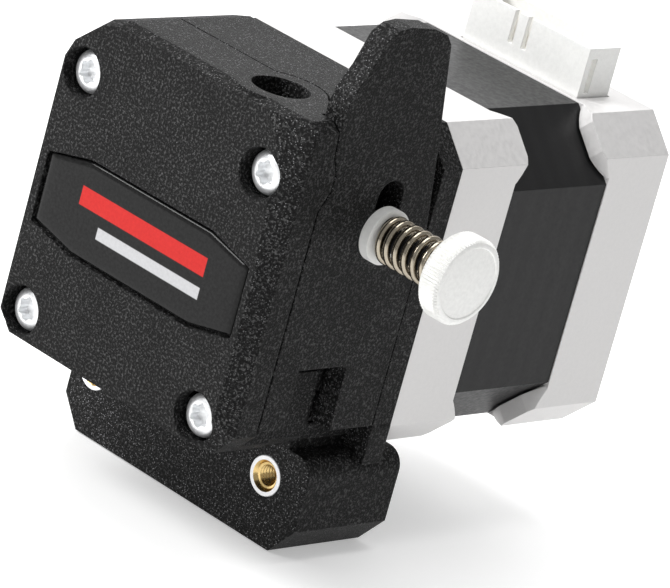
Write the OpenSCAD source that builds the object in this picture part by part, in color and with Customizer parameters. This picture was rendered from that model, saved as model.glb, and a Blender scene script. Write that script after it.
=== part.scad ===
// Geared filament extruder on a square stepper motor.
// The parts are laid out about the motor shaft: the shaft is the Y axis, y = 0 is the motor's
// mounting face and the extruder stands in front of it, towards -Y. placed() then moves
// everything so that the model's origin is midway between the two foot inserts.

/* [Housing] */
// Left side of the housing, from the motor axis
body_left = 18.85; // [18.5:0.05:20]
// Right side of the cover and lever, from the motor axis
body_right = 21.2; // [21:0.1:22]
// Top of the housing, above the motor axis
body_top = 23.65; // [23:0.05:25]
// Bottom of the housing, below the motor axis
body_bottom = 19; // [18.8:0.1:20]
// Front face of the cover, in front of the motor face
front_depth = 29.15; // [29:0.05:31]
// Plane where cover and rear housing meet
seam_depth = 19.2; // [19:0.1:19.6]
// Thickness of the motor plate
plate_t = 3.3; // [3:0.1:3.3]
// Printed-part clearance between lever and housing
gap = 0.3; // [0.2:0.05:0.35]

/* [Foot] */
// Front face of the foot, in front of the motor face
foot_front = 12.2; // [12:0.1:13]
// How far the foot reaches under the motor
foot_rear = 4; // [3:0.5:6]
// Bottom of the foot, below the motor axis
foot_bottom = 33.75; // [33:0.25:36]
// Top of the foot, below the motor axis
foot_top = 20.7; // [20:0.1:20.9]
// Distance between the two threaded inserts
insert_spacing = 31; // [31:0.1:31.5]
// Height of the inserts, below the motor axis
insert_drop = 25.4; // [25:0.1:27]

/* [Motor] */
// Width across the motor's flats
motor_w = 42.3; // [42:0.1:42.3]
// Corner chamfer of the end bells
bell_chamfer = 4.3; // [4:0.1:5]
// Corner chamfer of the lamination stack
stack_chamfer = 7.65; // [7:0.05:8]
// Length of each end bell
bell_len = 10.4; // [10:0.1:11]
// Length of the whole motor body
motor_len = 38.4; // [38:0.1:48]
// Distance between the mounting screws
hole_pitch = 31; // [31:0.1:31]

/* [Gears] */
// Module of the reduction gears
gear_m = 0.5; // [0.5:0.1:0.5]
// Teeth on the motor pinion
pinion_teeth = 10; // [10:1:10]
// Teeth on the large gear
large_teeth = 32; // [32:1:32]
// Teeth on each of the two filament drive wheels
drive_teeth = 17; // [17:1:17]
// Filament path, to the right of the motor axis
filament_x = 9.8; // [9.8:0.1:9.8]
// Filament path, in front of the motor face
filament_depth = 22.7; // [22.7:0.1:22.7]

/* [Tension screw] */
// Height of the thumb screw above the motor axis
thumb_z = 9.3; // [9:0.1:9.6]
// Thumb screw, in front of the motor face
thumb_depth = 11.8; // [11.5:0.1:12]
// Diameter of the knurled head
thumb_d = 11; // [10:0.5:12]
// Outer diameter of the compression spring
spring_d = 6.1; // [5.9:0.1:6.3]
// Wire of the spring
wire_d = 0.86; // [0.8:0.02:0.9]
// Turns of the spring
spring_turns = 6.5; // [6:0.5:7]

/* [Hidden] */
$fn = 64;

nylon = [0.07, 0.07, 0.075];
steel = [0.78, 0.78, 0.8];
alloy = [0.75, 0.75, 0.76];
brass = [0.83, 0.68, 0.3];
white = [0.93, 0.93, 0.9];
blued = [0.04, 0.04, 0.045];

half_w = motor_w / 2;
half_pitch = hole_pitch / 2;
screw_r = 1.5;
screw_head_y = -front_depth + 1.1;
clear_r = 1.7;
foot_mid_x = -1.1;
insert_r = 2.6;
insert_len = 4;
thread_r = 1.25;

// Gear train: the large gear sits below and right of the motor shaft
drive_pitch_r = gear_m * drive_teeth / 2;
centre_dist = gear_m * (pinion_teeth + large_teeth) / 2;
drive_x = filament_x - drive_pitch_r;
drive_z = -sqrt(centre_dist * centre_dist - drive_x * drive_x);
idler_x = filament_x + drive_pitch_r;
mesh_dir = atan2(drive_z, drive_x);
large_r = gear_m * large_teeth / 2;
wheel_len = 5;
wheel_room = drive_pitch_r + 0.7;
wheel_y0 = -filament_depth - wheel_len / 2;
wheel_y1 = -filament_depth + wheel_len / 2;
gear_y0 = -9;
gear_y1 = -4.2;
shaft_r = 2.5;
bearing_r = 4;
bearing_t = 2;
run_gap = 0.04;
front_bearing_y = -27.5;
rear_bearing_y = -12.5;

// Lever
lever_x0 = 18.2;
lever_y0 = -23.6;
lever_y1 = -3.6;
front_leg_z = -15.5;
rear_leg_z = -16.4;
pivot_r = 1.55;
boss_r = 2.5;
boss_clear = 2.75;
link_top = -13;
leg_split_y0 = -19.4;
leg_split_y1 = -11.1;
lug_x = 19.4;
lug_y1 = -13.5;
window_top = -7.9;
slot_w = 4.3;
tab_top = 35.4;
yoke_front = -27.1;
yoke_rear = -18.3;
yoke_right = 16.6;
arm_t = 1.5;
chamber_mid = 10.6;
chamber_z0 = -14.4;
chamber_z1 = -0.3;

// Thumb screw stack, outward from the nut in the housing
nut_x = 11.5;
nut_t = 2.4;
nut_r = 3.15;
cup_t = 1.35;
cup_r = 3.5;
cup_hole_r = 1.9;
cup_slot = 0.75;
head_x = 32.8;
head_t = 3.3;
washer_t = 0.5;
spring_x0 = body_right + cup_t;
spring_x1 = head_x - washer_t;

module placed() {
    translate([-foot_mid_x, foot_front, insert_drop]) children();
}

// A solid of an x-z outline between two depths
module along_y(y0, y1) {
    translate([0, y1, 0]) rotate([90, 0, 0]) linear_extrude(y1 - y0) children();
}

// A round bar along Y
module bar_y(x, z, r, y0, y1) {
    translate([x, y0, z]) rotate([-90, 0, 0]) cylinder(r = r, h = y1 - y0);
}

// A round bar along X
module bar_x(y, z, r, x0, x1) {
    translate([x0, y, z]) rotate([0, 90, 0]) cylinder(r = r, h = x1 - x0);
}

module block(x0, x1, y0, y1, z0, z1) {
    translate([x0, y0, z0]) cube([x1 - x0, y1 - y0, z1 - z0]);
}

module at_corners(p = half_pitch) {
    for (sx = [-1, 1], sz = [-1, 1]) translate([sx * p, 0, sz * p]) children();
}

// Square with cut corners
module cut_square(w, c) {
    h = w / 2;
    polygon([[-h, c - h], [c - h, -h], [h - c, -h], [h, c - h],
        [h, h - c], [h - c, h], [c - h, h], [-h, h - c]]);
}

function polar(r, a) = [r * cos(a), r * sin(a)];
function arc(cx, cz, r, a0, a1, n = 8) =
    [for (i = [0 : n]) [cx, cz] + polar(r, a0 + (a1 - a0) * i / n)];

// Spur gear outline: involute flanks above the base circle, straight below it
function inv(a) = tan(a) * 180 / PI - a;
function flank(r, rb, pa, half_thick, rp) =
    let (a = r > rb ? acos(rb / r) : 0) half_thick / rp * 180 / PI + inv(pa) - inv(a);
function gear_points(teeth, rp, pa, thick, add, ded) =
    let (rb = rp * cos(pa), ro = rp + add, ri = rp - ded, r0 = max(rb, ri),
        radii = [ri, for (i = [0 : 4]) r0 + (ro - r0) * i / 4])
    [for (t = [0 : teeth - 1]) let (c = t * 360 / teeth)
        each concat([for (r = radii) polar(r, c - flank(max(r, rb), rb, pa, thick / 2, rp))],
            [for (i = [5 : -1 : 0]) polar(radii[i], c + flank(max(radii[i], rb), rb, pa, thick / 2, rp))])];

// Outer outline of cover and housing
module body_outline(inset = 0) {
    l = inset - body_left;
    r = body_right - inset;
    t = body_top - inset;
    b = inset - body_bottom;
    polygon([[l, b + 1.8], [l + 1.8, b], [r - 2.6, b], [r, b + 3],
        [r, t - 1], [r - 1.4, t], [l + 7.4, t], [l + 4.7, t - 0.9], [l + 1, t - 4.7], [l, t - 7.2]]);
}

// Smaller outline of the cover's flat front face, inside the bevel
module face_outline() {
    l = -body_left;
    r = body_right;
    t = body_top - 0.7;
    b = -body_bottom;
    polygon([[l, b + 2.4], [l + 2.4, b + 0.2], [r - 6, b + 0.2], [r - 2.4, b + 4.4],
        [r - 2.4, 4], [r - 3.8, t - 3.6], [r - 6.6, t], [l + 7.6, t], [l + 4.9, t - 0.8],
        [l + 1, t - 4.2], [l, t - 6.6]]);
}

// Side outline of the lever, in y (across) and z (up)
module lever_outline() {
    f = lever_y0;
    polygon([[leg_split_y0, front_leg_z], [f, front_leg_z], [f, 12.6], [f + 1.3, 15.2], [f + 1.3, 17.4], [f + 0.3, 19.6],
        [f, 22.6], [-23.6, 25.2], [-23, 27.4], [-21.3, 30], [-20.2, 32.6], [-19.6, 34], [-18, tab_top - 0.3],
        [-16, tab_top], [-12, tab_top - 0.3], [-9.6, tab_top - 1.1], [-8.5, 33],
        [-5.6, 19.6], [lever_y1, 9], [lever_y1, rear_leg_z], [leg_split_y1, rear_leg_z]]);
}

module lever_slab(x0, x1) {
    translate([x0, 0, 0]) rotate([90, 0, 90]) linear_extrude(x1 - x0) lever_outline();
}

// ---- Housing ----

module cover_shell() {
    hull() {
        along_y(-front_depth, -front_depth + 0.02) face_outline();
        along_y(-front_depth + 1.75, -seam_depth) body_outline();
    }
}

module label_outline(grow = 0) {
    polygon([[-17.2 - grow, -4.2 - grow], [-10.3, -5.7 - grow], [11, -5.7 - grow], [17.6 + grow, -4.2 - grow],
        [17.6 + grow, 4.2 + grow], [11, 6 + grow], [-10.3, 6 + grow], [-17.2 - grow, 4.2 + grow]]);
}

// Room for the lever's two pivot bosses and the links that join them to its plate
module boss_room() {
    for (y = [[lever_y0 - 0.15, leg_split_y0 + 0.2], [leg_split_y1 - 0.3, -plate_t]]) {
        bar_y(half_pitch, -half_pitch, boss_clear, y[0], y[1]);
        block(half_pitch, lever_x0, y[0], y[1], front_leg_z - 0.9, link_top + 0.4);
    }
}

module front_cover() color(nylon) placed() {
    boss_r0 = 5.7;
    difference() {
        union() {
            cover_shell();
            bar_z(filament_x, -filament_depth, boss_r0, 0.5, body_top);
        }
        block(0.4, chamber_mid, wheel_y0 - 0.3, -seam_depth + 0.1, chamber_z0, chamber_z1);
        block(chamber_mid - 0.1, 19.8, yoke_front - 0.3, -seam_depth + 0.1, chamber_z0, chamber_z1);
        difference() {
            lever_space();
            block(half_pitch, lug_x, -front_depth, 0, -body_bottom, front_leg_z - 1);
        }
        boss_room();
        bar_y(drive_x, drive_z, bearing_r, front_bearing_y, wheel_y0);
        at_corners() bar_y(0, 0, clear_r, -front_depth - 1, -seam_depth + 1);
        at_corners() bar_y(0, 0, 3.1, -front_depth - 1, screw_head_y + 2);
        along_y(-front_depth - 1, -front_depth + 0.9) label_outline(0.35);
        bar_z(filament_x, -filament_depth, 3.6, body_top - 6, body_top + 1);
        bar_z(filament_x, -filament_depth, 1.25, -body_bottom - 1, body_top);
        bar_z(filament_x, -filament_depth, 2.05, -body_bottom - 1, -body_bottom + 3.6);
    }
}

// A round bar along Z
module bar_z(x, y, r, z0, z1) {
    translate([x, y, z0]) cylinder(r = r, h = z1 - z0);
}

// What the lever sweeps on the right of the housing
module lever_space() {
    f = lever_y0 - gap;
    translate([lever_x0 - gap, 0, 0]) rotate([90, 0, 90]) linear_extrude(10)
        polygon([[f, -body_bottom - 1], [f, 12.6], [f + 1.3, 15.2], [f + 1.3, 17.4], [f + 0.3, 19.6],
            [f, 22.6], [f, 40], [-plate_t, 40], [-plate_t, -foot_top], [f + 3, -foot_top]]);
}

module foot_outline() {
    r = half_w;
    l = -half_w + 0.75;
    b = -foot_bottom;
    polygon(concat([[l, b + 3.8], [l + 3.2, b], [r - 3.3, b], [r, b + 3.9]],
        arc(r - 2.4, -foot_top - 2.4, 2.4, 0, 90), [[l, -foot_top]]));
}

// Pivot lug that fills the lever's fork
module pivot_lug() {
    along_y(leg_split_y0 + 0.2, lug_y1)
        polygon([[16, -body_bottom], [lug_x - 1.2, -body_bottom], [lug_x, -17.6], [lug_x, -9.1], [16, -9.1]]);
}

module rear_housing() color(nylon) placed() {
    step_y = -7.1;
    difference() {
        union() {
            difference() {
                union() {
                    along_y(-seam_depth, -seam_depth + 0.3) body_outline(0.35);
                    along_y(-seam_depth + 0.25, step_y) body_outline();
                    intersection() {
                        along_y(step_y, -plate_t) body_outline();
                        along_y(step_y - 1, 0) cut_square(motor_w, bell_chamfer);
                    }
                }
                lever_space();
            }
            along_y(-plate_t, 0) cut_square(motor_w - 0.1, bell_chamfer);
            along_y(-foot_front, foot_rear) foot_outline();
            along_y(-foot_front, 0) translate([-body_left, -foot_top - 1]) square([body_left + 17, 3]);
            along_y(-plate_t, 0) translate([-half_w + 0.75, -foot_top - 1]) square([motor_w - 0.75, 5]);
            pivot_lug();
        }
        boss_room();
        along_y(0, foot_rear + 1) cut_square(motor_w + 0.3, bell_chamfer);
        bar_z(filament_x, -filament_depth, 5.95, 0.4, body_top + 1);
        block(0.4, 17.6, -seam_depth - 1, yoke_rear + 0.3, chamber_z0, chamber_z1);
        block(17, body_right, -seam_depth - 1, yoke_rear + 0.3, -8.3, chamber_z1);
        bar_y(drive_x, drive_z, 3, -seam_depth, rear_bearing_y + 1);
        bar_y(drive_x, drive_z, bearing_r, rear_bearing_y, gear_y0);
        bar_y(drive_x, drive_z, large_r + 0.7, gear_y0 - 0.4, 0.01);
        bar_y(0, 0, 4, gear_y0 - 2.6, 0.01);
        bar_y(0, 0, 11.05, -2.15, 0.01);
        at_corners() bar_y(0, 0, clear_r, -seam_depth - 5, 1);
        bar_x(-thumb_depth, thumb_z, clear_r, 6, body_right);
        nut_pocket();
        for (s = [-1, 1]) bar_y(foot_mid_x + s * insert_spacing / 2, -insert_drop, insert_r,
            -foot_front - 1, -foot_front + insert_len);
    }
}

// Hexagonal seat for the nut, with the slot that it slides in through before the cover goes on
module nut_pocket() {
    translate([nut_x - 0.1, -thumb_depth, thumb_z]) rotate([0, 90, 0])
        cylinder(r = nut_r + 0.1, h = nut_t + 0.1, $fn = 6);
    block(nut_x - 0.1, nut_x + nut_t, -seam_depth - 1, -thumb_depth, thumb_z - 2.84, thumb_z + 2.84);
}

module front_label() color([0.02, 0.02, 0.022]) placed()
    along_y(-front_depth + 0.1, -front_depth + 0.9) label_outline();

module cover_screws() color(steel) placed() {
    head_y = screw_head_y;
    head_h = 2;
    at_corners() {
        difference() {
            bar_y(0, 0, 2.7, head_y, head_y + head_h);
            along_y(head_y - 1, head_y + 1.3) circle(r = 1.3, $fn = 6);
        }
        bar_y(0, 0, screw_r, head_y + head_h, 3.8);
    }
}

module foot_inserts() color(brass) placed() {
    for (s = [-1, 1]) translate([foot_mid_x + s * insert_spacing / 2, 0, -insert_drop]) difference() {
        bar_y(0, 0, insert_r, -foot_front, -foot_front + insert_len);
        bar_y(0, 0, thread_r, -foot_front - 1, -foot_front + insert_len + 1);
    }
}

// ---- Lever and its tension screw ----

module idler_lever() color(nylon) placed() {
    difference() {
        union() {
            lever_slab(lever_x0, body_right);
            for (y = [[lever_y0, leg_split_y0], [leg_split_y1, lever_y1]]) {
                bar_y(half_pitch, -half_pitch, boss_r, y[0], y[1]);
                block(half_pitch, lever_x0 + 1, y[0], y[1], front_leg_z, link_top);
            }
            yoke();
        }
        bar_y(idler_x, drive_z, wheel_room, wheel_y0 - 0.35, wheel_y1 + 0.35);
        bar_y(half_pitch, -half_pitch, pivot_r, lever_y0 - 1, lever_y1 + 1);
        block(10, body_right + 1, leg_split_y0, leg_split_y1, -20, window_top);
        hull() for (z = [9.2, 16 - slot_w / 2])
            bar_x(-thumb_depth, z, slot_w / 2, lever_x0 - 1, body_right + 1);
        bar_y(idler_x, drive_z, 1.51, yoke_front - 1, yoke_rear + 1);
    }
}

// Fork that carries the idler wheel's pin
module yoke() {
    for (y = [yoke_front, yoke_rear - arm_t]) {
        bar_y(idler_x, drive_z, 2.5, y, y + arm_t);
        block(idler_x - 2.5, yoke_right, y, y + arm_t, drive_z, -1);
    }
    block(idler_x - 2.5, yoke_right, yoke_front, yoke_rear, -3.6, -1);
    block(yoke_right - 0.1, lever_x0 + 0.5, lever_y0 + 0.1, yoke_rear, -7.6, -1);
}

module spring_cup() color(white) placed() difference() {
    bar_x(-thumb_depth, thumb_z, cup_r, body_right, body_right + cup_t);
    hull() for (z = [thumb_z, thumb_z + cup_slot])
        bar_x(-thumb_depth, z, cup_hole_r, body_right - 1, body_right + cup_t + 1);
}

// Helical compression spring, one tube of eight-sided rings
module tension_spring() color([0.45, 0.42, 0.36]) placed() {
    sides = 8;
    per_turn = 20;
    rings = ceil(spring_turns * per_turn);
    wr = wire_d / 2;
    coil_r = spring_d / 2 - wr;
    span = spring_x1 - spring_x0 - wire_d - 0.1;
    centre = function(i) [spring_x0 + wr + 0.05 + span * i / rings,
        -thumb_depth + coil_r * cos(i * 360 / per_turn), thumb_z + coil_r * sin(i * 360 / per_turn)];
    ring_point = function(i, j) let (a = i * 360 / per_turn, b = j * 360 / sides)
        centre(i) + [wr * sin(b), wr * cos(b) * cos(a), wr * cos(b) * sin(a)];
    points = [for (i = [0 : rings], j = [0 : sides - 1]) ring_point(i, j)];
    faces = concat(
        [[for (j = [0 : sides - 1]) sides - 1 - j]],
        [for (i = [0 : rings - 1], j = [0 : sides - 1]) let (k = (j + 1) % sides)
            [i * sides + j, i * sides + k, (i + 1) * sides + k, (i + 1) * sides + j]],
        [[for (j = [0 : sides - 1]) rings * sides + j]]);
    polyhedron(points, faces);
}

module thumb_washer() color(steel) placed() difference() {
    bar_x(-thumb_depth, thumb_z, 3.3, spring_x1, head_x);
    bar_x(-thumb_depth, thumb_z, 1.6, spring_x1 - 1, head_x + 1);
}

module thumb_screw() color(steel) placed() {
    ribs = 72;
    tip_x = 9.6;
    difference() {
        translate([head_x, -thumb_depth, thumb_z]) rotate([0, 90, 0]) union() {
            cylinder(r = thumb_d / 2 - 0.5, h = head_t);
            translate([0, 0, 0.5]) linear_extrude(head_t - 1) polygon([for (i = [0 : 2 * ribs - 1])
                polar(thumb_d / 2 - (i % 2) * 0.25, i * 180 / ribs)]);
        }
        bar_x(-thumb_depth, thumb_z, thumb_d / 2 - 1, head_x + head_t - 0.25, head_x + head_t + 1);
    }
    bar_x(-thumb_depth, thumb_z, screw_r, tip_x, head_x);
}

module tension_nut() color(brass) placed() difference() {
    translate([nut_x, -thumb_depth, thumb_z]) rotate([0, 90, 0]) cylinder(r = nut_r, h = nut_t, $fn = 6);
    bar_x(-thumb_depth, thumb_z, screw_r + run_gap, nut_x - 1, nut_x + nut_t + 1);
}

// ---- Drive train ----

module drive_shaft() color(steel) placed()
    bar_y(drive_x, drive_z, shaft_r, front_bearing_y + 0.2, gear_y1 + 0.5);

// Toothed wheel with a hobbed groove in the middle for the filament
module toothed_wheel(x, bore_r, phase) {
    tooth = 0.46;
    groove = 0.9;
    translate([x, 0, drive_z]) difference() {
        along_y(wheel_y0, wheel_y1) rotate(phase)
            polygon(gear_points(drive_teeth, drive_pitch_r, 25, tooth, 0.38, 0.5));
        bar_y(0, 0, bore_r, wheel_y0 - 1, wheel_y1 + 1);
        translate([0, -filament_depth, 0]) rotate([90, 0, 0])
            rotate_extrude() translate([drive_pitch_r, 0]) circle(r = groove);
    }
}

module drive_gear() color(steel) placed() difference() {
    toothed_wheel(drive_x, shaft_r, 0);
    bar_x(-filament_depth - 1.75, drive_z, 0.62, drive_x - 6, drive_x);
}

module drive_set_screw() color(blued) placed()
    bar_x(-filament_depth - 1.75, drive_z, 0.6, drive_x - 3.7, drive_x - shaft_r);

module large_gear() color([0.9, 0.9, 0.88]) placed() translate([drive_x, 0, drive_z]) difference() {
    union() {
        along_y(gear_y0, gear_y1) rotate(mesh_dir + 180 + 180 / large_teeth)
            polygon(gear_points(large_teeth, large_r, 25, gear_m * PI / 2 - 0.07, 0.4, 0.6));
    }
    bar_y(0, 0, shaft_r, gear_y0 - 1, gear_y1 + 1);
    for (i = [0 : 4]) rotate([0, i * 72, 0]) bar_y(4.9, 0, 1.1, gear_y0 - 1, gear_y1 + 1);
}

module ball_bearing(x, z, r, bore, y0, t) {
    difference() {
        bar_y(x, z, r, y0, y0 + t);
        bar_y(x, z, bore, y0 - 1, y0 + t + 1);
        for (y = [y0 - 1, y0 + t - 0.25]) difference() {
            bar_y(x, z, r - 0.5, y, y + 1.25);
            bar_y(x, z, bore + 0.4, y - 1, y + 3);
        }
    }
}

module front_bearing() color(steel) placed()
    ball_bearing(drive_x, drive_z, bearing_r, shaft_r + run_gap, front_bearing_y, bearing_t);

module rear_bearing() color(steel) placed()
    ball_bearing(drive_x, drive_z, bearing_r, shaft_r + run_gap, rear_bearing_y, bearing_t);

module idler_gear() color(steel) placed()
    toothed_wheel(idler_x, 2.4, 180 + 180 / drive_teeth);

module idler_pin() color(steel) placed()
    bar_y(idler_x, drive_z, screw_r, yoke_front, yoke_rear);

module idler_needle_bearing() color(alloy) placed() difference() {
    bar_y(idler_x, drive_z, 2.4, wheel_y0, wheel_y1);
    bar_y(idler_x, drive_z, screw_r + run_gap, wheel_y0 - 1, wheel_y1 + 1);
}

module outlet_tube() color(white) placed() difference() {
    bar_z(filament_x, -filament_depth, 2.05, -body_bottom, -body_bottom + 3.6);
    bar_z(filament_x, -filament_depth, 1, -body_bottom - 1, -body_bottom + 5);
}

// ---- Motor ----

stack_y0 = bell_len;
stack_y1 = motor_len - bell_len;
ear = 1.8;
rotor_r = 11;
hollow_r = 15.5;

// Corner pads with rounded ends that wrap the stack's cut corners; tip is where they reach to
module ears(y0, y1, tip) {
    round_r = 6.6;
    intersection() {
        along_y(y0, y1) difference() {
            cut_square(motor_w, bell_chamfer);
            cut_square(motor_w + 0.4, stack_chamfer + 0.3);
        }
        for (a = [45, 135]) translate([0, tip, 0]) rotate([0, a, 0]) translate([-40, 0, 0])
            rotate([0, 90, 0]) cylinder(r = round_r, h = 80);
    }
}

module motor_front_bell() color(alloy) placed() difference() {
    union() {
        along_y(0, bell_len) cut_square(motor_w, bell_chamfer);
        bar_y(0, 0, 11, -2, 0.1);
        ears(bell_len - 0.1, bell_len + ear, bell_len + ear - 6.3);
    }
    bar_y(0, 0, hollow_r, 4, bell_len + 1);
    bar_y(0, 0, 6.5, 0, 5);
    bar_y(0, 0, 3.2, -3, 1);
    at_corners() bar_y(0, 0, screw_r, -1, 4.5);
    at_corners() bar_y(0, 0, 1.3, 6, bell_len + 3);
}

module motor_stack() color([0.05, 0.05, 0.052]) placed() difference() {
    along_y(stack_y0, stack_y1) cut_square(motor_w - 0.3, stack_chamfer);
    bar_y(0, 0, rotor_r + 0.25, stack_y0 - 1, stack_y1 + 1);
    at_corners() bar_y(0, 0, 1.35, stack_y0 - 1, stack_y1 + 1);
}

module motor_windings() color([0.72, 0.4, 0.2]) placed() {
    for (y = [[stack_y0 - 5, stack_y0], [stack_y1, stack_y1 + 5]]) difference() {
        bar_y(0, 0, hollow_r - 0.3, y[0], y[1]);
        bar_y(0, 0, rotor_r + 0.6, y[0] - 1, y[1] + 1);
    }
}

module motor_rear_bell() color(alloy) placed() difference() {
    union() {
        along_y(stack_y1, motor_len) cut_square(motor_w, bell_chamfer);
        ears(stack_y1 - ear, stack_y1 + 0.1, stack_y1 - ear + 6.3);
    }
    bar_y(0, 0, hollow_r, stack_y1 - 1, motor_len - 4);
    bar_y(0, 0, 6.5, motor_len - 5, motor_len - 1);
    at_corners() bar_y(0, 0, 1.35, stack_y1 - 3, motor_len + 1);
    at_corners() bar_y(0, 0, 2.8, motor_len - 2.6, motor_len + 1);
    difference() {
        bar_y(0, 0, 9.4, motor_len - 0.4, motor_len + 1);
        bar_y(0, 0, 8.6, motor_len - 1, motor_len + 2);
    }
    block(conn_x0 - 0.3, conn_x1 + 0.3, stack_y1 + 0.8, stack_y1 + 7, 18.4, 30);
}

module motor_rotor() color([0.3, 0.3, 0.31]) placed() difference() {
    bar_y(0, 0, rotor_r, stack_y0 - 0.5, stack_y1 + 0.5);
    bar_y(0, 0, shaft_r + 0.01, 0, motor_len);
}

module motor_shaft() color(steel) placed() {
    bar_y(0, 0, shaft_r, gear_y1 + 0.9, motor_len - 1.5);
    along_y(gear_y0 - 2, gear_y1 + 1) rotate(mesh_dir)
        polygon(gear_points(pinion_teeth, gear_m * pinion_teeth / 2, 25, gear_m * PI / 2 - 0.07, 0.42, 0.6));
}

module motor_bearings() color(steel) placed() {
    for (y = [0.3, motor_len - 4.9]) ball_bearing(0, 0, 6.48, shaft_r + run_gap, y, 3.9);
}

module motor_wave_washer() color(steel) placed() difference() {
    bar_y(0, 0, 6.3, 0, 0.3);
    bar_y(0, 0, 4.6, -1, 1);
}

module motor_tie_screws() color(steel) placed() at_corners() {
    difference() {
        bar_y(0, 0, 2.6, motor_len - 2.5, motor_len - 0.6);
        for (a = [0, 90]) rotate([0, a, 0]) block(-1.6, 1.6, motor_len - 1.6, motor_len, -0.35, 0.35);
    }
    bar_y(0, 0, 1.3, 7, motor_len - 2.5);
}

// ---- Motor connector ----

conn_x0 = -8;
conn_x1 = 12.1;
conn_y0 = stack_y1 + 1;
conn_y1 = conn_y0 + 5.8;
conn_top = 27.6;

module connector_base() color(blued) placed()
    block(conn_x0 - 0.2, conn_x1 + 0.2, conn_y0 - 0.1, conn_y1 + 0.1, 18.5, 20.9);

module connector_shell() color(white) placed() difference() {
    block(conn_x0, conn_x1, conn_y0, conn_y1, 20.9, conn_top);
    block(conn_x0 + 0.8, conn_x1 - 0.8, conn_y0 + 0.7, conn_y1 - 0.7, 22.2, conn_top + 1);
    for (x = [-0.9, 1.4]) block(x, x + 0.8, conn_y0 - 1, conn_y0 + 1, 23.4, conn_top + 1);
    block(conn_x1 - 0.9, conn_x1 + 1, conn_y0 + 0.9, conn_y0 + 1.9, 21.6, conn_top - 1.4);
}

module connector_pins() color(brass) placed() {
    pins = 6;
    pitch = 2.54;
    mid = (conn_x0 + conn_x1) / 2;
    for (i = [0 : pins - 1]) translate([mid + (i - (pins - 1) / 2) * pitch, 0, 0])
        block(-0.25, 0.25, conn_y0 + 2.65, conn_y0 + 3.15, 22.2, 25);
}

front_cover();
rear_housing();
front_label();
cover_screws();
foot_inserts();
idler_lever();
spring_cup();
tension_spring();
thumb_washer();
thumb_screw();
tension_nut();
drive_shaft();
drive_gear();
drive_set_screw();
large_gear();
front_bearing();
rear_bearing();
idler_gear();
idler_pin();
idler_needle_bearing();
outlet_tube();
motor_front_bell();
motor_stack();
motor_windings();
motor_rear_bell();
motor_rotor();
motor_shaft();
motor_bearings();
motor_wave_washer();
motor_tie_screws();
connector_base();
connector_shell();
connector_pins();
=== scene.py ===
import math

import bpy
from mathutils import Matrix, Vector


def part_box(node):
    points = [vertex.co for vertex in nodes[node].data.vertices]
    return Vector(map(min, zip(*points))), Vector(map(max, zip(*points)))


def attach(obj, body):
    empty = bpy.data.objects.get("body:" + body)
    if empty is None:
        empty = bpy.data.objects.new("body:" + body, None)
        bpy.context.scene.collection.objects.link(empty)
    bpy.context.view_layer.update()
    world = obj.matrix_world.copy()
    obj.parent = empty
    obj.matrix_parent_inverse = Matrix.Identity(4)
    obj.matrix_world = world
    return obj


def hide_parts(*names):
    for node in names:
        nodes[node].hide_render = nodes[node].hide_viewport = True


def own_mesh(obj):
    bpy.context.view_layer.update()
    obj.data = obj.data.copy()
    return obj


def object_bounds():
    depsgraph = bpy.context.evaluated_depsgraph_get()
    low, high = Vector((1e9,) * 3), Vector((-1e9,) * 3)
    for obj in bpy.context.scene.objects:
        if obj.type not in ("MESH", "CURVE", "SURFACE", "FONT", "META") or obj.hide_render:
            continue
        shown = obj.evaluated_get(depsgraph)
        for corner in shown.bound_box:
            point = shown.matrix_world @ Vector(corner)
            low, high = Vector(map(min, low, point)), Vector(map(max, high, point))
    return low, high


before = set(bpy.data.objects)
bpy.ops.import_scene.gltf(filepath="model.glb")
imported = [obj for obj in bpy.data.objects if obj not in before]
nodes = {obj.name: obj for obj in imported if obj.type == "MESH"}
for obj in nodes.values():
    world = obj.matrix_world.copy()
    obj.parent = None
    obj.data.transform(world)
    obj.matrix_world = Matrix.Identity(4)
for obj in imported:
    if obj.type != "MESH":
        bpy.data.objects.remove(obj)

cad_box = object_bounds()
MM = 0.001


# ---- Shader helpers ----

def new_material(name):
    """An empty material with a Principled shader; returns it, its tree and the shader."""
    mat = bpy.data.materials.new(name)
    mat.use_nodes = True
    return mat, mat.node_tree, mat.node_tree.nodes["Principled BSDF"]


def add(tree, kind, **values):
    """A node of one kind, with its named sockets or settings filled in."""
    node = tree.nodes.new(kind)
    for key, value in values.items():
        if key in node.inputs:
            node.inputs[key].default_value = value
        else:
            setattr(node, key, value)
    return node


def coords(tree):
    return add(tree, "ShaderNodeTexCoord").outputs["Object"]


def noise(tree, size, detail=3.0, stretch=(1, 1, 1)):
    """Noise with lumps about size metres across. A stretch below 1 lengthens them along an axis."""
    mapping = add(tree, "ShaderNodeMapping", Scale=Vector(stretch) / size)
    tree.links.new(coords(tree), mapping.inputs["Vector"])
    node = add(tree, "ShaderNodeTexNoise", Scale=1.0, Detail=detail, Roughness=0.6)
    tree.links.new(mapping.outputs["Vector"], node.inputs["Vector"])
    return node.outputs["Fac"]


def ramp(tree, source, *stops):
    """A colour ramp through (position, colour) stops; a colour may be one grey number."""
    node = add(tree, "ShaderNodeValToRGB")
    elements = node.color_ramp.elements
    while len(elements) < len(stops):
        elements.new(0.5)
    for element, (place, colour) in zip(elements, stops):
        element.position = place
        grey = isinstance(colour, (int, float))
        element.color = (colour, colour, colour, 1) if grey else (*colour, 1)
    tree.links.new(source, node.inputs["Fac"])
    return node.outputs["Color"]


def mix(tree, factor, a, b, blend="MIX"):
    node = add(tree, "ShaderNodeMix", data_type="RGBA", blend_type=blend)
    for socket, value in ((node.inputs[0], factor), (node.inputs[6], a), (node.inputs[7], b)):
        if isinstance(value, bpy.types.NodeSocket):
            tree.links.new(value, socket)
        else:
            socket.default_value = (*value, 1) if isinstance(value, tuple) else value
    return node.outputs[2]


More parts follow.
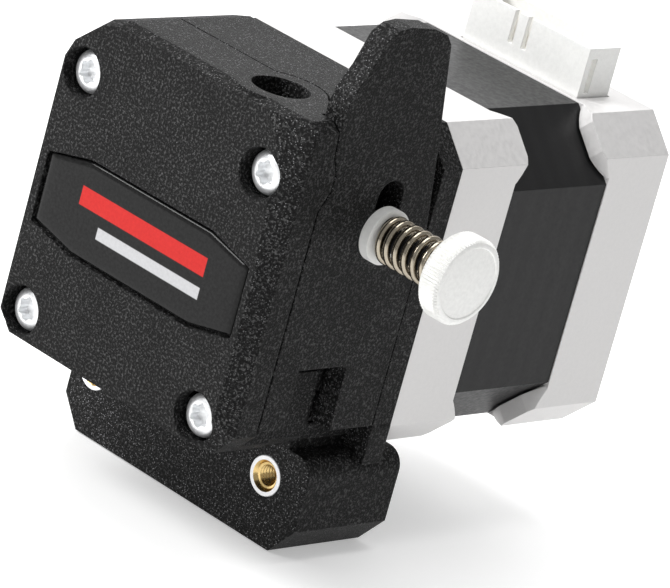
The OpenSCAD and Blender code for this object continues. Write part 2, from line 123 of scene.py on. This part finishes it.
def relief(tree, shader, height, depth, strength=1.0, edge=0.0):
    """Bump of a height in metres; edge rounds the hard edges by that radius."""
    bump = add(tree, "ShaderNodeBump", Strength=strength, Distance=depth)
    tree.links.new(height, bump.inputs["Height"])
    if edge:
        rounded = add(tree, "ShaderNodeBevel", samples=6, Radius=edge)
        tree.links.new(rounded.outputs["Normal"], bump.inputs["Normal"])
    tree.links.new(bump.outputs["Normal"], shader.inputs["Normal"])


# ---- Materials ----

def nylon():
    """Sintered black nylon: a speckled grain with pale specks painted into the colour as glints."""
    mat, tree, shader = new_material("sintered_nylon")
    grain = noise(tree, 0.32 * MM, 5)
    patches = noise(tree, 6 * MM, 3)
    base = ramp(tree, grain, (0.40, 0.002), (0.52, 0.007), (0.64, 0.070))
    tone = ramp(tree, patches, (0.3, 0.75), (0.7, 1.2))
    # painted glints: a pale speck in a share of the Voronoi cells, mixed into the base colour
    cells = add(tree, "ShaderNodeTexVoronoi", Scale=1 / (0.24 * MM), feature="F1")
    tree.links.new(coords(tree), cells.inputs["Vector"])
    glint_shape = ramp(tree, cells.outputs["Distance"], (0.10, 1.0), (0.32, 0.0))
    rarity = ramp(tree, cells.outputs["Color"], (0.56, 0.0), (0.66, 1.0))
    # painted shade: faces towards +X, away from the lamps, get fewer painted glints than the front
    # and the top
    facing = add(tree, "ShaderNodeSeparateXYZ")
    tree.links.new(add(tree, "ShaderNodeNewGeometry").outputs["Normal"], facing.inputs[0])
    shaded_side = ramp(tree, facing.outputs["X"], (0.35, 1.0), (0.85, 0.18))
    glint_speck = mix(tree, 1.0, mix(tree, 1.0, glint_shape, rarity, "MULTIPLY"), shaded_side, "MULTIPLY")
    body = mix(tree, 1.0, base, tone, "MULTIPLY")
    tree.links.new(mix(tree, glint_speck, body, (0.34, 0.34, 0.35)), shader.inputs["Base Color"])
    tree.links.new(ramp(tree, grain, (0.3, 0.42), (0.7, 0.72)), shader.inputs["Roughness"])
    shader.inputs["Specular IOR Level"].default_value = 0.12
    relief(tree, shader, grain, 0.16 * MM, 1.0, 0.3 * MM)
    return mat


def metal(name, colour, rough, metallic=1.0, lumps=0.3 * MM, stretch=(1, 1, 1),
          depth=0.004 * MM, edge=0.12 * MM, spread=0.12):
    """Metal with fine marks that vary its colour and roughness."""
    mat, tree, shader = new_material(name)
    marks = noise(tree, lumps, 4, stretch)
    dark = tuple(c * (1 - spread) for c in colour)
    tree.links.new(ramp(tree, marks, (0.3, dark), (0.7, colour)), shader.inputs["Base Color"])
    gloss = ramp(tree, marks, (0.3, rough * 0.8), (0.7, min(1, rough * 1.25)))
    tree.links.new(gloss, shader.inputs["Roughness"])
    shader.inputs["Metallic"].default_value = metallic
    relief(tree, shader, marks, depth, 0.6, edge)
    return mat


def plastic(name, colour, rough):
    """Smooth plastic with faint, slow changes of colour."""
    mat, tree, shader = new_material(name)
    marks = noise(tree, 0.5 * MM, 3)
    dark = tuple(c * 0.93 for c in colour)
    tree.links.new(ramp(tree, marks, (0.3, dark), (0.7, colour)), shader.inputs["Base Color"])
    gloss = ramp(tree, marks, (0.3, rough * 0.9), (0.7, rough * 1.1))
    tree.links.new(gloss, shader.inputs["Roughness"])
    relief(tree, shader, marks, 0.006 * MM, 0.5, 0.12 * MM)
    return mat


def laminated():
    """Black lacquered steel sheets stacked along Y."""
    mat, tree, shader = new_material("lamination_stack")
    sheet = 0.5 * MM
    waves_per_unit = 20  # a wave texture at scale 1 has about this many bands in a metre
    sheets = add(tree, "ShaderNodeTexWave", Scale=1 / (waves_per_unit * sheet),
                 bands_direction="Y", Distortion=0.0)
    tree.links.new(coords(tree), sheets.inputs["Vector"])
    wear = noise(tree, 0.6 * MM, 4)
    lines = ramp(tree, sheets.outputs["Fac"], (0.2, 0.003), (0.8, 0.007))
    tree.links.new(mix(tree, wear, lines, (0.008, 0.008, 0.009)), shader.inputs["Base Color"])
    tree.links.new(ramp(tree, wear, (0.3, 0.36), (0.7, 0.52)), shader.inputs["Roughness"])
    shader.inputs["Specular IOR Level"].default_value = 0.28
    relief(tree, shader, sheets.outputs["Fac"], 0.01 * MM, 0.5, 0.1 * MM)
    return mat


# the label's bands, in mm from its box's low corner: x from, x to, z from, z to
RED_BAND = (6.5, 28.5, 6.2, 8.6)
GREY_BAND = (10.5, 28.5, 3.3, 4.8)


def emblem(low):
    """Glossy black resin with a plain red band over a shorter light grey band."""
    mat, tree, shader = new_material("domed_label")
    split = add(tree, "ShaderNodeSeparateXYZ")
    tree.links.new(coords(tree), split.inputs[0])

    def both(a, b):
        product = add(tree, "ShaderNodeMath", operation="MULTIPLY")
        tree.links.new(a, product.inputs[0])
        tree.links.new(b, product.inputs[1])
        return product.outputs[0]

    def step(axis, start, end):
        node = add(tree, "ShaderNodeMapRange", interpolation_type="SMOOTHSTEP")
        node.inputs["From Min"].default_value = start
        node.inputs["From Max"].default_value = end
        tree.links.new(split.outputs[axis], node.inputs["Value"])
        return node.outputs["Result"]

    def between(axis, a, b):
        soft = 0.06 * MM
        return both(step(axis, a - soft, a + soft), step(axis, b + soft, b - soft))

    def area(x0, x1, z0, z1):
        return both(between("X", low.x + x0 * MM, low.x + x1 * MM),
                    between("Z", low.z + z0 * MM, low.z + z1 * MM))

    flecks = noise(tree, 0.4 * MM, 3)
    black = ramp(tree, flecks, (0.3, 0.006), (0.7, 0.016))
    red = mix(tree, flecks, (0.42, 0.012, 0.012), (0.60, 0.03, 0.025))
    grey = mix(tree, flecks, (0.40, 0.40, 0.41), (0.55, 0.55, 0.56))
    with_red = mix(tree, area(*RED_BAND), black, red)
    with_grey = mix(tree, area(*GREY_BAND), with_red, grey)
    tree.links.new(with_grey, shader.inputs["Base Color"])
    tree.links.new(ramp(tree, flecks, (0.3, 0.10), (0.7, 0.16)), shader.inputs["Roughness"])
    shader.inputs["Specular IOR Level"].default_value = 0.06
    shader.inputs["Coat Weight"].default_value = 0.14
    shader.inputs["Coat Roughness"].default_value = 0.03
    return mat


NYLON = nylon()
ZINC = metal("zinc_plated", (0.92, 0.93, 0.94), 0.36, metallic=0.7)
GEAR_STEEL = metal("hardened_steel", (0.52, 0.52, 0.54), 0.3, stretch=(1, 0.1, 1))
BLACK_STEEL = metal("black_oxide", (0.05, 0.05, 0.055), 0.45, spread=0.4)
BRASS = metal("turned_brass", (0.83, 0.60, 0.26), 0.22, spread=0.2)
SPRING_WIRE = metal("spring_wire", (0.44, 0.39, 0.31), 0.2, stretch=(0.3, 1, 1))
KNURLED = metal("bright_knurled", (0.97, 0.97, 0.95), 0.5, metallic=0.20,
                lumps=0.5 * MM, depth=0.02 * MM, edge=0)
# painted highlight: a pale metal for the brass inserts' flange faces, standing for a glint
GLINT_RIM = metal("rim_painted_glint", (0.90, 0.90, 0.91), 0.35, metallic=0.6)
BELL = metal("cast_bell", (0.79, 0.78, 0.775), 0.6, metallic=0.5,
             lumps=0.6 * MM, depth=0.02 * MM, spread=0.08)
COPPER = metal("enamelled_copper", (0.72, 0.36, 0.16), 0.35, stretch=(1, 4, 1))
WHITE = plastic("white_plastic", (0.93, 0.93, 0.91), 0.42)
ACETAL = plastic("acetal", (0.80, 0.80, 0.76), 0.38)

SKINS = {
    "front_cover": NYLON, "rear_housing": NYLON, "idler_lever": NYLON,
    "cover_screws": ZINC, "thumb_washer": ZINC, "front_bearing": ZINC, "rear_bearing": ZINC,
    "idler_needle_bearing": ZINC, "motor_bearings": ZINC, "motor_wave_washer": ZINC,
    "motor_tie_screws": ZINC, "foot_inserts": BRASS, "tension_nut": BRASS, "connector_pins": BRASS,
    "spring_cup": WHITE, "outlet_tube": WHITE, "connector_shell": WHITE,
    "thumb_screw": KNURLED, "drive_shaft": GEAR_STEEL, "drive_gear": GEAR_STEEL,
    "idler_gear": GEAR_STEEL, "idler_pin": GEAR_STEEL, "motor_shaft": GEAR_STEEL,
    "motor_rotor": GEAR_STEEL, "drive_set_screw": BLACK_STEEL, "connector_base": BLACK_STEEL,
    "large_gear": ACETAL, "motor_front_bell": BELL, "motor_rear_bell": BELL,
    "motor_stack": laminated(), "motor_windings": COPPER,
}
for name, skin in SKINS.items():
    mesh = nodes[name].data
    mesh.materials.clear()
    mesh.materials.append(skin)


def piece(name, shape, material, body, node):
    """A shape (points, edges, faces) as a named piece that stands for a node and rides on a body."""
    mesh = bpy.data.meshes.new(name)
    mesh.from_pydata(*shape)
    obj = bpy.data.objects.new(name, mesh)
    bpy.context.scene.collection.objects.link(obj)
    mesh.materials.append(material)
    for face in mesh.polygons:
        face.use_smooth = True
    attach(obj, body)
    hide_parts(node)
    return obj


def tube_faces(rings, sides, start=0):
    """The side faces between rings of points, from the point number start."""
    return [(start + n * sides + k, start + n * sides + (k + 1) % sides,
             start + (n + 1) * sides + (k + 1) % sides, start + (n + 1) * sides + k)
            for n in range(rings - 1) for k in range(sides)]


# ---- Domed label ----

def label():
    """The label's outline, drawn in by rings to a low dome towards -Y."""
    low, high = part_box("front_label")
    middle = (low + high) / 2
    half_x, half_z = (high.x - low.x) / 2, (high.z - low.z) / 2
    # the eight corners, as shares of the half width and half height
    shoulder, end = 0.60, 0.74
    corners = [(-1, -end), (-shoulder, -1), (shoulder, -1), (1, -end),
               (1, end), (shoulder, 1), (-shoulder, 1), (-1, end)]
    per_side = 10
    outline = []
    for (xa, za), (xb, zb) in zip(corners, corners[1:] + corners[:1]):
        for i in range(per_side):
            t = i / per_side
            outline.append((xa + (xb - xa) * t, za + (zb - za) * t))
    # (share of the half height left, share of the thickness reached)
    rings = ((1.0, 0.0), (1.0, 0.55), (0.985, 0.75), (0.95, 0.87), (0.85, 0.95), (0.6, 0.99),
             (0.3, 1.0))
    depth = high.y - low.y
    verts = [(middle.x + x * (half_x - (1 - share) * half_z),
              high.y - depth * rise,
              middle.z + z * half_z * share)
             for share, rise in rings for x, z in outline]
    faces = tube_faces(len(rings), len(outline))
    faces.append(tuple(range((len(rings) - 1) * len(outline), len(verts))))
    faces.append(tuple(reversed(range(len(outline)))))
    piece("label_dome", (verts, [], faces), emblem(low), "root", "front_label")


label()


# ---- Tension spring ----

def spring():
    """A smooth helix with closed ends in the space of the CAD spring."""
    low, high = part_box("tension_spring")
    middle = (low + high) / 2
    wire = 0.47 * MM  # the wire's radius
    coil = (high.y - low.y) / 2 - wire
    turns, steps, sides = 6.5, 40, 14
    total = int(turns * steps)
    span = high.x - low.x - 2 * wire
    closed = 0.9 / turns  # the share of the wire in each closed end
    flat = 2 * wire / span * 0.9  # the share of the length that it takes up

    def travel(t):
        if t < closed:
            return flat * t / closed
        if t > 1 - closed:
            return 1 - flat * (1 - t) / closed
        return flat + (1 - 2 * flat) * (t - closed) / (1 - 2 * closed)

    verts = []
    for i in range(total + 1):
        t = i / total
        a = 2 * math.pi * turns * t
        out = Vector((0, math.cos(a), math.sin(a)))
        centre = Vector((low.x + wire + span * travel(t), middle.y, middle.z)) + out * coil
        for j in range(sides):
            b = 2 * math.pi * j / sides
            verts.append(centre + Vector((math.sin(b), 0, 0)) * wire + out * math.cos(b) * wire)
    faces = tube_faces(total + 1, sides)
    faces.append(tuple(reversed(range(sides))))
    faces.append(tuple(range(total * sides, (total + 1) * sides)))
    coil_piece = piece("spring_coil", (verts, [], faces), SPRING_WIRE, "root",
                       "tension_spring")
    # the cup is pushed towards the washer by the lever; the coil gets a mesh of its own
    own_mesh(coil_piece)


spring()


# ---- Turned pieces ----

THREAD_PITCH = 0.5


def turned(parts, segments):
    """Closed shapes of revolution as one mesh, with a material number for each face.
    A part is (centre, axis, side, rings). A ring is (radius, height, waves, wave depth, material),
    and its faces join it to the ring before."""
    verts, faces, looks = [], [], []
    for centre, axis, side, rings in parts:
        other = axis.cross(side)
        start = len(verts)
        for radius, height, waves, depth, _ in rings:
            for k in range(segments):
                a = 2 * math.pi * k / segments
                reach = radius - depth * (0.5 + 0.5 * math.cos(waves * a)) if waves else radius
                out = side * math.cos(a) + other * math.sin(a)
                verts.append(centre + axis * height * MM + out * reach * MM)
        faces += tube_faces(len(rings), segments, start)
        looks += [ring[4] for ring in rings[1:] for _ in range(segments)]
        faces.append(tuple(start + k for k in reversed(range(segments))))
        faces.append(tuple(start + (len(rings) - 1) * segments + k for k in range(segments)))
        looks += [rings[0][4], rings[-1][4]]
    return (verts, [], faces), looks


def turned_piece(name, parts, segments, materials, body, node):
    """Turned parts as one piece, with sharp edges where the profile turns by over 32 degrees."""
    shape, looks = turned(parts, segments)
    obj = piece(name, shape, materials[0], body, node)
    for extra in materials[1:]:
        obj.data.materials.append(extra)
    for face, look in zip(obj.data.polygons, looks):
        face.material_index = look
    obj.data.set_sharp_from_angle(angle=math.radians(32))


def corner_centres(node, radius):
    """Centres in x and z of four round solids of that radius at a node's corners."""
    low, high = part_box(node)
    return [(x, z) for x in (low.x + radius, high.x - radius)
            for z in (low.z + radius, high.z - radius)]


def cover_screws():
    """Socket screws: a slightly domed head with a six-lobed recess."""
    low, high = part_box("cover_screws")
    head_r, head_h, shank_r = 2.7, 2.0, 1.5
    length = (high.y - low.y) / MM - head_h
    rings = [
        (0.05, -length, 0, 0, 0), (1.2, -length, 0, 0, 0), (shank_r, 0.3 - length, 0, 0, 0),
        (shank_r, 0, 0, 0, 0), (head_r - 0.1, 0, 0, 0, 0), (head_r, 0.15, 0, 0, 0),
        (head_r, 1.25, 0, 0, 0), (head_r - 0.12, 1.55, 0, 0, 0), (head_r - 0.45, 1.82, 0, 0, 0),
        (head_r - 0.9, 1.96, 0, 0, 0), (1.62, head_h, 0, 0, 0),
        # the six-lobed recess
        (1.55, 1.97, 6, 0.30, 0), (1.48, 1.80, 6, 0.34, 0), (1.42, 0.75, 6, 0.34, 0),
        (0.5, 0.55, 0, 0, 0), (0.05, 0.5, 0, 0, 0)]
    seat = low.y + head_h * MM
    parts = [(Vector((x, seat, z)), Vector((0, -1, 0)), Vector((1, 0, 0)), rings)
             for x, z in corner_centres("cover_screws", head_r * MM)]
    turned_piece("cover_screw_set", parts, 96, [ZINC], "root", "cover_screws")


def foot_inserts():
    """Threaded inserts: a rim painted pale as a glint, a lead-in cone and a ridged bore."""
    low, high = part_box("foot_inserts")
    outer = (high.z - low.z) / 2 / MM
    depth = (high.y - low.y) / MM
    rings = [(1.32, -depth, 0, 0, 0), (outer, -depth, 0, 0, 0), (outer, -0.15, 0, 0, 1),
             (outer - 0.12, 0, 0, 0, 1), (outer - 0.62, 0, 0, 0, 1),
             (outer - 0.75, -0.12, 0, 0, 0), (1.62, -0.5, 0, 0, 0)]
    ridges = int((depth - 1.0) / THREAD_PITCH)
    for n in range(ridges):
        rings += [(1.27, -0.6 - THREAD_PITCH * n, 0, 0, 0),
                  (1.55, -0.6 - THREAD_PITCH * (n + 0.5), 0, 0, 0)]
    rings.append((1.32, -depth + 0.02, 0, 0, 0))
    middle = (low.z + high.z) / 2
    parts = [(Vector((x, low.y, middle)), Vector((0, -1, 0)), Vector((1, 0, 0)), rings)
             for x in (low.x + outer * MM, high.x - outer * MM)]
    turned_piece("foot_insert_pair", parts, 64, [BRASS, GLINT_RIM], "root", "foot_inserts")


def thumb_screw():
    """Knurled head with a turned face, on a threaded shank."""
    low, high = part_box("thumb_screw")
    radius = (high.z - low.z) / 2 / MM
    head = 3.3
    length = (high.x - low.x) / MM - head
    ribs, cut = 80, 0.42
    rings = [(0.05, -length, 0, 0, 1), (1.2, -length, 0, 0, 1)]
    turns = int((length - 0.6) / THREAD_PITCH)
    for n in range(turns):
        rings += [(1.5, 0.4 - length + THREAD_PITCH * n, 0, 0, 1),
                  (1.28, 0.4 - length + THREAD_PITCH * (n + 0.5), 0, 0, 1)]
    rings += [(1.5, -0.1, 0, 0, 1), (1.5, 0, 0, 0, 1),
              # the head: its underside, the knurled side, a bevel and the dished face
              (radius - 0.75, 0, 0, 0, 0), (radius - 0.45, 0.08, 0, 0, 0),
              (radius, 0.5, ribs, cut, 0), (radius, 1.6, ribs, cut, 0), (radius, 2.7, ribs, cut, 0),
              (radius - 0.42, 3.12, 0, 0, 0), (radius - 0.72, 3.26, 0, 0, 0),
              (radius - 0.95, 3.26, 0, 0, 0), (radius - 1.08, 3.12, 0, 0, 0),
              (radius - 1.3, 3.14, 0, 0, 0), (radius - 2.6, 3.22, 0, 0, 0),
              (1.2, 3.28, 0, 0, 0), (0.05, head, 0, 0, 0)]
    middle = (low + high) / 2
    seat = Vector((high.x - head * MM, middle.y, middle.z))
    parts = [(seat, Vector((1, 0, 0)), Vector((0, 1, 0)), rings)]
    turned_piece("thumb_screw_turned", parts, 320, [KNURLED, BLACK_STEEL], "thumb_body",
                 "thumb_screw")


cover_screws()
foot_inserts()
thumb_screw()


# ---- Studio ----

def studio():
    """A pale floor, a white surround and three soft lamps."""
    low, high = cad_box
    floor_material, tree, shader = new_material("studio_floor")
    tone = ramp(tree, noise(tree, 0.05, 2), (0.3, 0.86), (0.7, 0.88))
    tree.links.new(tone, shader.inputs["Base Color"])
    shader.inputs["Roughness"].default_value = 0.6
    shader.inputs["Emission Color"].default_value = (1, 1, 1, 1)
    shader.inputs["Emission Strength"].default_value = 0.34
    mesh = bpy.data.meshes.new("floor")
    reach = 3.0
    level = low.z - 0.2 * MM
    corners = ((-reach, -reach), (reach, -reach), (reach, reach), (-reach, reach))
    mesh.from_pydata([(x, y, level) for x, y in corners], [], [(0, 1, 2, 3)])
    floor = bpy.data.objects.new("floor", mesh)
    mesh.materials.append(floor_material)
    bpy.context.scene.collection.objects.link(floor)

    world = bpy.data.worlds.new("studio")
    world.use_nodes = True
    backdrop = world.node_tree.nodes["Background"]
    backdrop.inputs["Color"].default_value = (1, 1, 1, 1)
    backdrop.inputs["Strength"].default_value = 0.40
    bpy.context.scene.world = world
    bpy.context.scene.view_settings.view_transform = "Standard"

    centre = (low + high) / 2

    def lamp(name, offset, size, power):
        light = bpy.data.lights.new(name, "AREA")
        light.size = size
        light.energy = power
        obj = bpy.data.objects.new(name, light)
        obj.location = centre + Vector(offset)
        obj.rotation_euler = (centre - obj.location).to_track_quat("-Z", "Y").to_euler()
        bpy.context.scene.collection.objects.link(obj)

    lamp("key", (-0.24, -0.30, 0.26), 0.20, 2.0)
    lamp("top", (-0.02, 0.05, 0.40), 0.26, 0.85)
    lamp("back", (-0.26, 0.34, 0.20), 0.34, 0.55)


studio()


# ---- Camera ----

def camera():
    """The photograph's viewpoint, as a long lens about 0.65 m away. Its place and axes were
    worked out from the motor's known sizes."""
    place = Vector((0.40924462, -0.47077399, 0.22981759))
    right = Vector((0.68705195, 0.68073706, 0.25408004))
    down = Vector((0.40127844, -0.06396168, -0.91372015))
    forward = Vector((-0.60575179, 0.72973006, -0.3171101))
    data = bpy.data.cameras.new("camera")
    data.sensor_width = 36
    data.lens = 292.44
    data.clip_start, data.clip_end = 0.01, 20
    obj = bpy.data.objects.new("camera", data)
    turn = Matrix((right, -down, -forward)).transposed()
    obj.matrix_world = Matrix.Translation(place) @ turn.to_4x4()
    bpy.context.scene.collection.objects.link(obj)
    bpy.context.scene.camera = obj


camera()
